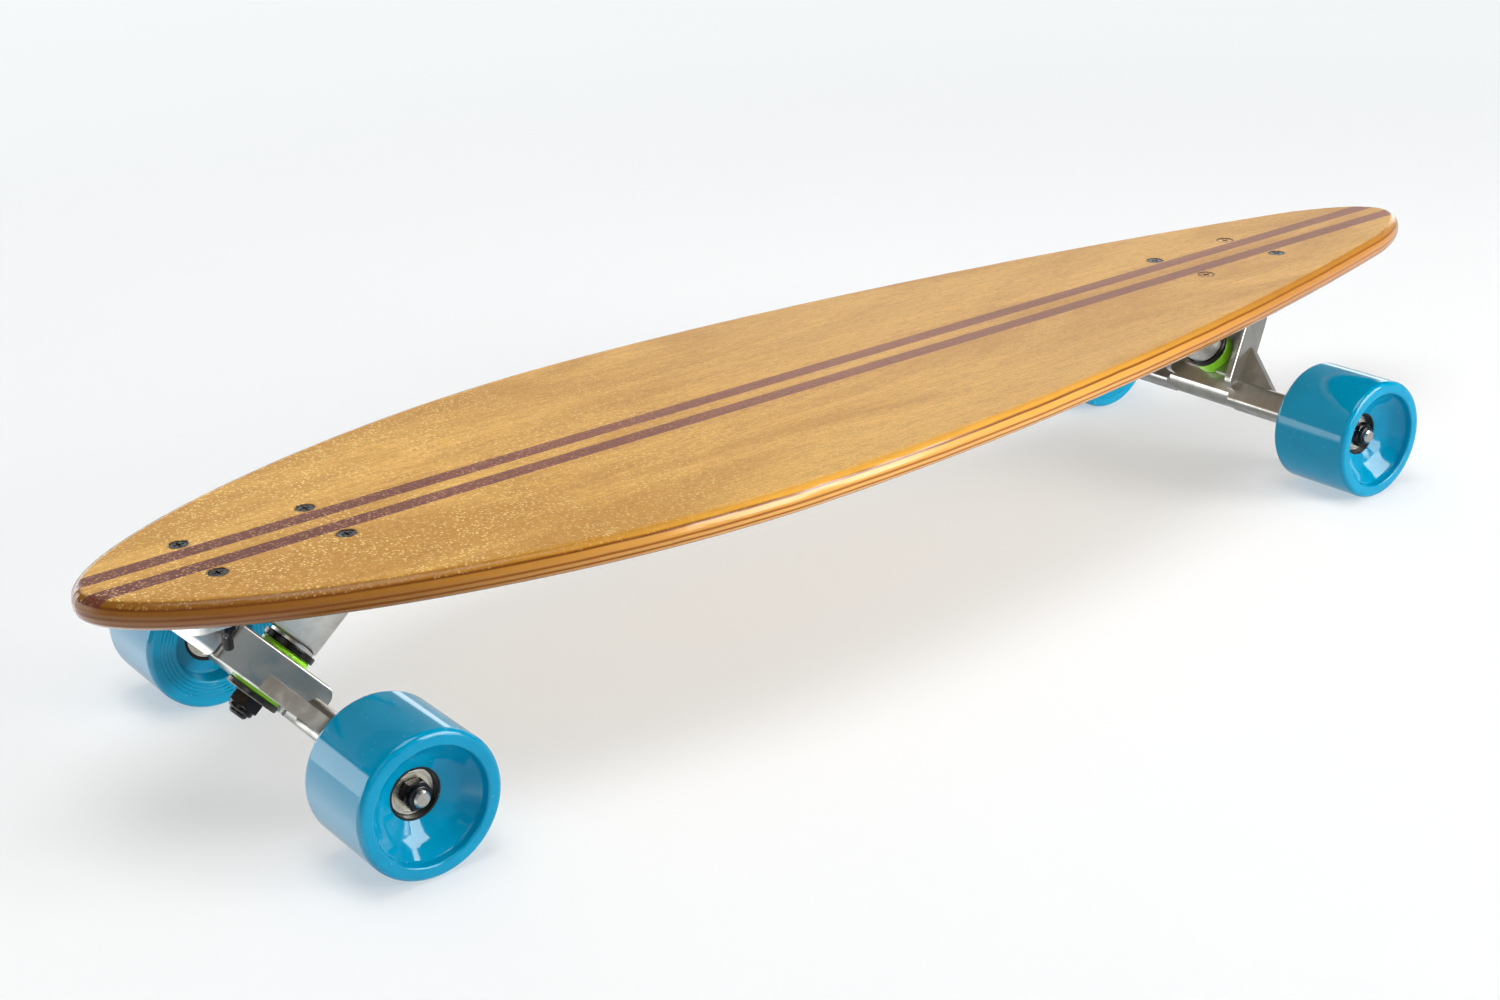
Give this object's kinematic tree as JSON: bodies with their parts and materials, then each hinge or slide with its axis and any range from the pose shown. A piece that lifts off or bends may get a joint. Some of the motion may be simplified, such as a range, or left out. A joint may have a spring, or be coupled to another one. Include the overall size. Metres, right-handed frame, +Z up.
{
  "type": "longboard skateboard",
  "caption": "Pintail longboard: a flat lacquered plywood deck on reverse-kingpin trucks that lean to steer, with large urethane wheels on ball bearings.",
  "frame": {"origin": "on the ground under the middle of the deck's length and width", "axes": "+X towards the tail, +Y towards the right-hand wheels, +Z up through the deck"},
  "size_m": [0.893, 0.266, 0.118],
  "materials": {
    "lacquered_maple": "clear gloss lacquer over honey maple, with clear grit on top",
    "stripe_veneer": "gloss lacquer over red-brown wood",
    "core_plies": "sealed ply edges",
    "riser_rubber": "matte rubber",
    "cast_aluminium": "polished casting",
    "black_steel": "black oxide",
    "zinc_steel": "bright zinc",
    "brass_plating": "polished",
    "bearing_steel": "ground and polished",
    "bushing_urethane": "satin urethane",
    "cup_urethane": "satin urethane",
    "wheel_urethane": "gloss urethane",
    "core_plastic": "moulded nylon"
  },
  "bodies": {
    "deck": {"deck_top_veneer": "lacquered_maple", "deck_stripe_inlays": "stripe_veneer", "deck_upper_ply": "core_plies", "deck_core_ply": "core_plies", "deck_lower_ply": "core_plies", "deck_bottom_veneer": "lacquered_maple", "deck_bolts_black": "black_steel", "deck_bolts_brass": "brass_plating", "deck_bolt_nuts": "black_steel", "nose_riser_pad": "riser_rubber", "nose_baseplate": "cast_aluminium", "nose_pivot_cup": "cup_urethane", "nose_kingpin": "zinc_steel", "nose_kingpin_nut": "black_steel", "nose_boardside_washer": "black_steel", "nose_roadside_washer": "black_steel", "nose_boardside_bushing": "bushing_urethane", "nose_roadside_bushing": "bushing_urethane", "tail_riser_pad": "riser_rubber", "tail_baseplate": "cast_aluminium", "tail_pivot_cup": "cup_urethane", "tail_kingpin": "zinc_steel", "tail_kingpin_nut": "black_steel", "tail_boardside_washer": "black_steel", "tail_roadside_washer": "black_steel", "tail_boardside_bushing": "bushing_urethane", "tail_roadside_bushing": "bushing_urethane"},
    "nose_hanger": {"nose_hanger": "cast_aluminium", "nose_axle": "zinc_steel", "nose_axle_nuts": "black_steel", "nose_speed_rings": "zinc_steel", "nose_bearing_spacers": "zinc_steel", "nose_bearing_inner_rings": "bearing_steel"},
    "nose_left_wheel": {"nose_left_tyre": "wheel_urethane", "nose_left_core": "core_plastic", "nose_left_bearing_outer_rings": "bearing_steel", "nose_left_bearing_shields": "bearing_steel"},
    "nose_left_balls": {"nose_left_bearing_balls": "bearing_steel"},
    "nose_right_wheel": {"nose_right_tyre": "wheel_urethane", "nose_right_core": "core_plastic", "nose_right_bearing_outer_rings": "bearing_steel", "nose_right_bearing_shields": "bearing_steel"},
    "nose_right_balls": {"nose_right_bearing_balls": "bearing_steel"},
    "tail_hanger": {"tail_hanger": "cast_aluminium", "tail_axle": "zinc_steel", "tail_axle_nuts": "black_steel", "tail_speed_rings": "zinc_steel", "tail_bearing_spacers": "zinc_steel", "tail_bearing_inner_rings": "bearing_steel"},
    "tail_left_wheel": {"tail_left_tyre": "wheel_urethane", "tail_left_core": "core_plastic", "tail_left_bearing_outer_rings": "bearing_steel", "tail_left_bearing_shields": "bearing_steel"},
    "tail_left_balls": {"tail_left_bearing_balls": "bearing_steel"},
    "tail_right_wheel": {"tail_right_tyre": "wheel_urethane", "tail_right_core": "core_plastic", "tail_right_bearing_outer_rings": "bearing_steel", "tail_right_bearing_shields": "bearing_steel"},
    "tail_right_balls": {"tail_right_bearing_balls": "bearing_steel"}
  },
  "joints": [
    {"name": "nose_steer", "type": "hinge", "parent": "deck", "child": "nose_hanger", "pos_m": [-0.36151, 0, 0.05295], "axis": [-0.6428, 0, 0.766], "range_deg": [-15, 15], "stiffness_Nm_per_rad": 40, "deforming": ["nose_boardside_bushing", "nose_roadside_bushing"]},
    {"name": "nose_left_spin", "type": "hinge", "parent": "nose_hanger", "child": "nose_left_wheel", "pos_m": [-0.3535, -0.1075, 0.035], "axis": [0, 1, 0], "continuous": true},
    {"name": "nose_left_ball_roll", "type": "hinge", "parent": "nose_hanger", "child": "nose_left_balls", "pos_m": [-0.3535, -0.1075, 0.035], "axis": [0, 1, 0], "continuous": true},
    {"name": "nose_right_spin", "type": "hinge", "parent": "nose_hanger", "child": "nose_right_wheel", "pos_m": [-0.3535, 0.1075, 0.035], "axis": [0, 1, 0], "continuous": true},
    {"name": "nose_right_ball_roll", "type": "hinge", "parent": "nose_hanger", "child": "nose_right_balls", "pos_m": [-0.3535, 0.1075, 0.035], "axis": [0, 1, 0], "continuous": true},
    {"name": "tail_steer", "type": "hinge", "parent": "deck", "child": "tail_hanger", "pos_m": [0.28851, 0, 0.05295], "axis": [0.6428, 0, 0.766], "range_deg": [-15, 15], "stiffness_Nm_per_rad": 40, "deforming": ["tail_boardside_bushing", "tail_roadside_bushing"]},
    {"name": "tail_left_spin", "type": "hinge", "parent": "tail_hanger", "child": "tail_left_wheel", "pos_m": [0.2805, -0.1075, 0.035], "axis": [0, 1, 0], "continuous": true},
    {"name": "tail_left_ball_roll", "type": "hinge", "parent": "tail_hanger", "child": "tail_left_balls", "pos_m": [0.2805, -0.1075, 0.035], "axis": [0, 1, 0], "continuous": true},
    {"name": "tail_right_spin", "type": "hinge", "parent": "tail_hanger", "child": "tail_right_wheel", "pos_m": [0.2805, 0.1075, 0.035], "axis": [0, 1, 0], "continuous": true},
    {"name": "tail_right_ball_roll", "type": "hinge", "parent": "tail_hanger", "child": "tail_right_balls", "pos_m": [0.2805, 0.1075, 0.035], "axis": [0, 1, 0], "continuous": true}
  ],
  "couplings": [
    {"joint": "nose_left_ball_roll", "follows": "nose_left_spin", "ratio": 0.6277},
    {"joint": "nose_right_ball_roll", "follows": "nose_right_spin", "ratio": 0.6277},
    {"joint": "tail_left_ball_roll", "follows": "tail_left_spin", "ratio": 0.6277},
    {"joint": "tail_right_ball_roll", "follows": "tail_right_spin", "ratio": 0.6277}
  ]
}
